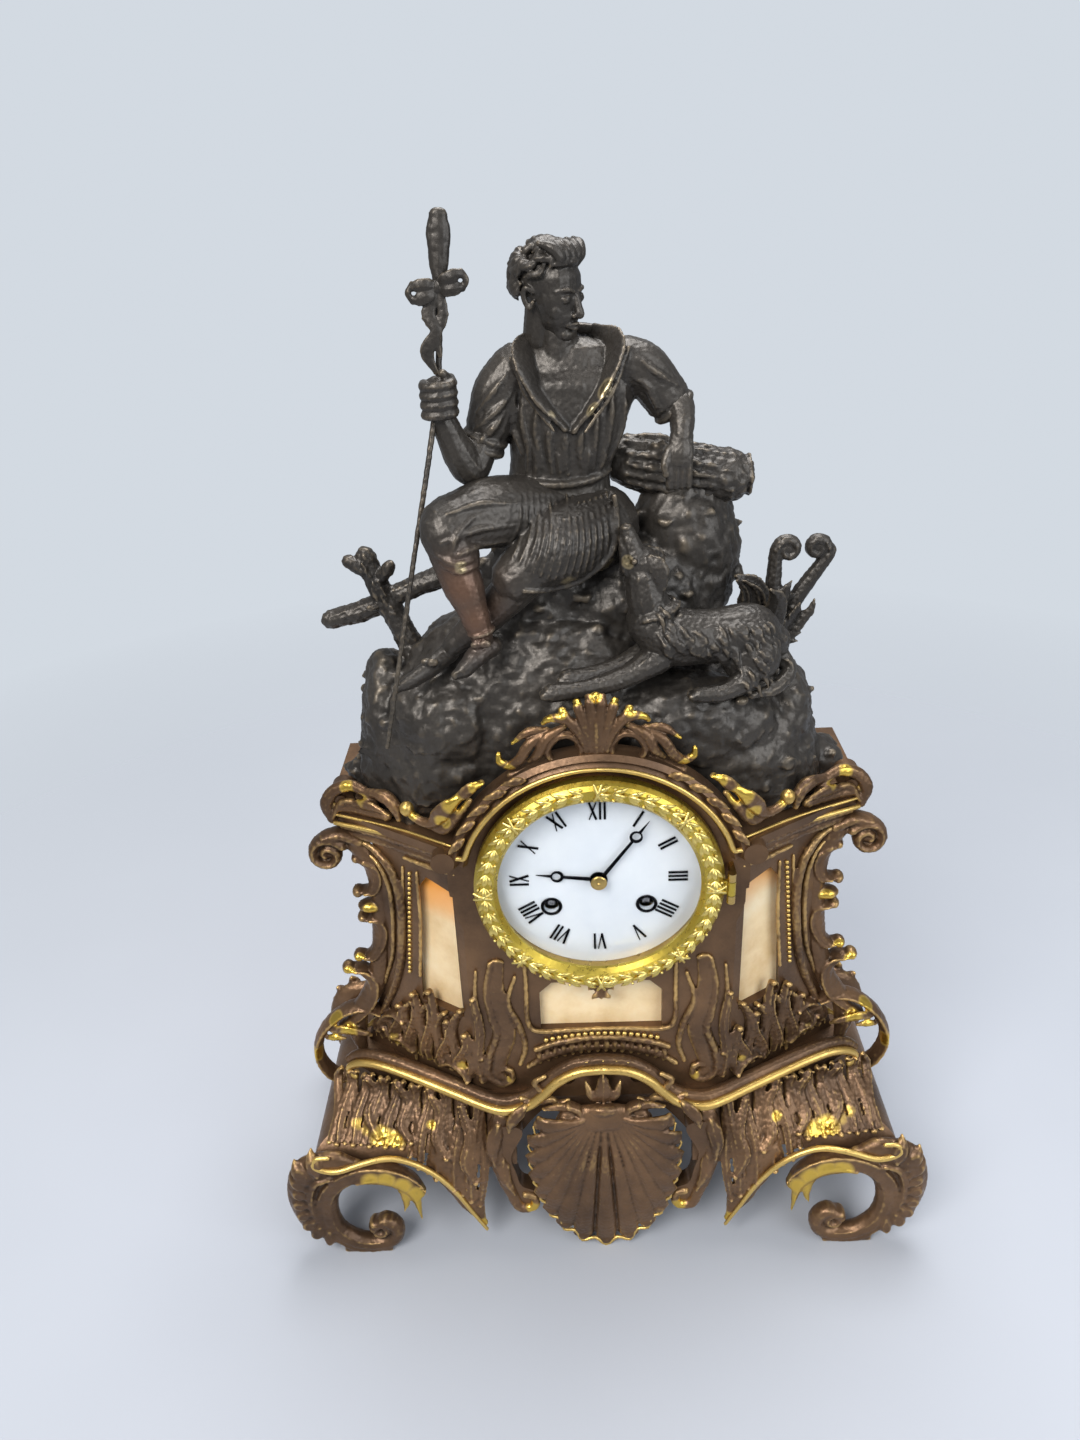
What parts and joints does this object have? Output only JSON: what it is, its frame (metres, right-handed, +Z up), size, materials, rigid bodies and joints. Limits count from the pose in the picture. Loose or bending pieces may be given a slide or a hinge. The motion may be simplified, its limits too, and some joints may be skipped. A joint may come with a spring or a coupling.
{
  "type": "figural mantel clock",
  "caption": "Figural mantel clock: a seated shepherd with staff and dog on a rock above a canted gilt case with stone panels, scallop shell plinth and scroll feet.",
  "frame": {"origin": "middle of the footprint, on the floor under the feet", "axes": "+X to the right seen from the front, +Y towards the back, +Z up"},
  "size_m": [0.323, 0.136, 0.4925],
  "materials": {
    "case_bronze": "brown gilt patina",
    "gilt_line": "satin gilt",
    "case_sheet": "dull sheet",
    "dark_bronze": "dark patina",
    "alabaster": "polished",
    "enamel": "gloss",
    "gilt_bezel": "bright gilt",
    "glass": "clear",
    "brass": "polished",
    "steel": "polished",
    "black_steel": "blued black",
    "bell_metal": "turned"
  },
  "bodies": {
    "case": {"plinth": "case_bronze", "plinth_moulding": "gilt_line", "shell_ornament": "case_bronze", "feet": "case_bronze", "case_front": "case_bronze", "side_scrolls": "case_bronze", "case_sides": "case_sheet", "back_panel": "case_sheet", "case_top": "case_bronze", "hood": "case_bronze", "crest": "case_bronze", "stone_panels": "alabaster", "case_fasteners": "steel", "rock_mound": "dark_bronze", "log": "dark_bronze", "shepherd_torso": "dark_bronze", "shepherd_head": "dark_bronze", "shepherd_right_arm": "dark_bronze", "shepherd_left_arm": "dark_bronze", "shepherd_legs": "dark_bronze", "staff": "dark_bronze", "staff_bow": "dark_bronze", "dog": "dark_bronze", "fence": "dark_bronze", "acanthus_plant": "dark_bronze", "front_ring": "brass", "dial_plate": "enamel", "hinge_lugs": "brass", "front_plate": "brass", "back_plate": "brass", "pillars": "brass", "clicks": "steel", "straps": "brass", "pendulum_cock": "brass", "bell": "bell_metal", "bell_stand": "steel", "rear_ring": "brass"},
    "bezel_door": {"front_bezel": "gilt_bezel", "bezel_glass": "glass"},
    "rear_door": {"rear_door": "brass"},
    "minute_hand": {"minute_hand": "black_steel", "cannon_pinion": "steel"},
    "hour_hand": {"hour_hand": "black_steel", "hour_wheel": "brass"},
    "minute_wheel": {"minute_wheel": "brass"},
    "going_winder": {"going_arbor": "steel"},
    "strike_winder": {"strike_arbor": "steel"},
    "going_barrel": {"going_barrel": "brass"},
    "second_wheel": {"second_wheel": "brass"},
    "centre_wheel": {"centre_wheel": "brass"},
    "third_wheel": {"third_wheel": "brass"},
    "escape_wheel": {"escape_wheel": "brass"},
    "anchor": {"anchor": "steel"},
    "pendulum": {"pendulum": "brass"},
    "strike_barrel": {"strike_barrel": "brass"},
    "strike_second": {"strike_second_wheel": "brass"},
    "pin_wheel": {"pin_wheel": "brass"},
    "locking_wheel": {"locking_wheel": "brass"},
    "fly": {"fly": "brass"},
    "hammer": {"hammer": "steel"}
  },
  "joints": [
    {"name": "bezel_hinge", "type": "hinge", "parent": "case", "child": "bezel_door", "pos_m": [0.0574, -0.0564, 0.221], "axis": [0, 0, 1], "range_deg": [0, 100]},
    {"name": "rear_door_hinge", "type": "hinge", "parent": "case", "child": "rear_door", "pos_m": [-0.0574, 0.0513, 0.221], "axis": [0, 0, 1], "range_deg": [0, 110]},
    {"name": "minute_hand_turn", "type": "hinge", "parent": "case", "child": "minute_hand", "pos_m": [0, -0.048, 0.221], "axis": [0, 1, 0], "continuous": true},
    {"name": "minute_wheel_turn", "type": "hinge", "parent": "case", "child": "minute_wheel", "pos_m": [0.006, -0.04, 0.23139], "axis": [0, 1, 0], "continuous": true},
    {"name": "hour_hand_turn", "type": "hinge", "parent": "case", "child": "hour_hand", "pos_m": [0, -0.046, 0.221], "axis": [0, 1, 0], "continuous": true},
    {"name": "going_wind", "type": "hinge", "parent": "case", "child": "going_winder", "pos_m": [0.0214, -0.04, 0.2064], "axis": [0, 1, 0], "continuous": true},
    {"name": "strike_wind", "type": "hinge", "parent": "case", "child": "strike_winder", "pos_m": [-0.0214, -0.04, 0.2064], "axis": [0, 1, 0], "continuous": true},
    {"name": "escape_turn", "type": "hinge", "parent": "case", "child": "escape_wheel", "pos_m": [0, -0.012, 0.241], "axis": [0, 1, 0], "continuous": true},
    {"name": "third_turn", "type": "hinge", "parent": "case", "child": "third_wheel", "pos_m": [0.00386, -0.025, 0.23218], "axis": [0, 1, 0], "continuous": true},
    {"name": "centre_turn", "type": "hinge", "parent": "case", "child": "centre_wheel", "pos_m": [0, -0.02, 0.221], "axis": [0, 1, 0], "continuous": true},
    {"name": "second_turn", "type": "hinge", "parent": "case", "child": "second_wheel", "pos_m": [0.01253, -0.01, 0.22229], "axis": [0, 1, 0], "continuous": true},
    {"name": "going_barrel_turn", "type": "hinge", "parent": "case", "child": "going_barrel", "pos_m": [0.0214, -0.02, 0.2064], "axis": [0, 1, 0], "continuous": true},
    {"name": "pendulum_swing", "type": "hinge", "parent": "case", "child": "pendulum", "pos_m": [0, 0.008, 0.2515], "axis": [0, 1, 0], "range_deg": [-2.5, 2.5]},
    {"name": "anchor_rock", "type": "hinge", "parent": "case", "child": "anchor", "pos_m": [0, -0.01, 0.2515], "axis": [0, 1, 0], "range_deg": [-2.5, 2.5]},
    {"name": "fly_turn", "type": "hinge", "parent": "case", "child": "fly", "pos_m": [-0.0188, -0.01, 0.24743], "axis": [0, 1, 0], "continuous": true},
    {"name": "locking_turn", "type": "hinge", "parent": "case", "child": "locking_wheel", "pos_m": [-0.01214, -0.02, 0.24358], "axis": [0, 1, 0], "continuous": true},
    {"name": "pin_wheel_turn", "type": "hinge", "parent": "case", "child": "pin_wheel", "pos_m": [-0.01718, -0.025, 0.23485], "axis": [0, 1, 0], "continuous": true},
    {"name": "strike_second_turn", "type": "hinge", "parent": "case", "child": "strike_second", "pos_m": [-0.01517, -0.008, 0.2235], "axis": [0, 1, 0], "continuous": true},
    {"name": "strike_barrel_turn", "type": "hinge", "parent": "case", "child": "strike_barrel", "pos_m": [-0.0214, -0.02, 0.2064], "axis": [0, 1, 0], "continuous": true},
    {"name": "hammer_lift", "type": "hinge", "parent": "case", "child": "hammer", "pos_m": [-0.033, 0.01, 0.235], "axis": [0, 1, 0], "range_deg": [0, 10]}
  ],
  "couplings": [
    {"joint": "minute_wheel_turn", "follows": "minute_hand_turn", "ratio": -0.33333},
    {"joint": "hour_hand_turn", "follows": "minute_hand_turn", "ratio": 0.083333},
    {"joint": "escape_turn", "follows": "centre_turn", "ratio": 120},
    {"joint": "third_turn", "follows": "centre_turn", "ratio": -12},
    {"joint": "second_turn", "follows": "centre_turn", "ratio": -0.16667},
    {"joint": "going_barrel_turn", "follows": "centre_turn", "ratio": 0.027778},
    {"joint": "anchor_rock", "follows": "pendulum_swing", "ratio": 1},
    {"joint": "fly_turn", "follows": "pin_wheel_turn", "ratio": 54.857},
    {"joint": "locking_turn", "follows": "pin_wheel_turn", "ratio": -8},
    {"joint": "strike_second_turn", "follows": "pin_wheel_turn", "ratio": -0.14286},
    {"joint": "strike_barrel_turn", "follows": "pin_wheel_turn", "ratio": 0.02381}
  ]
}
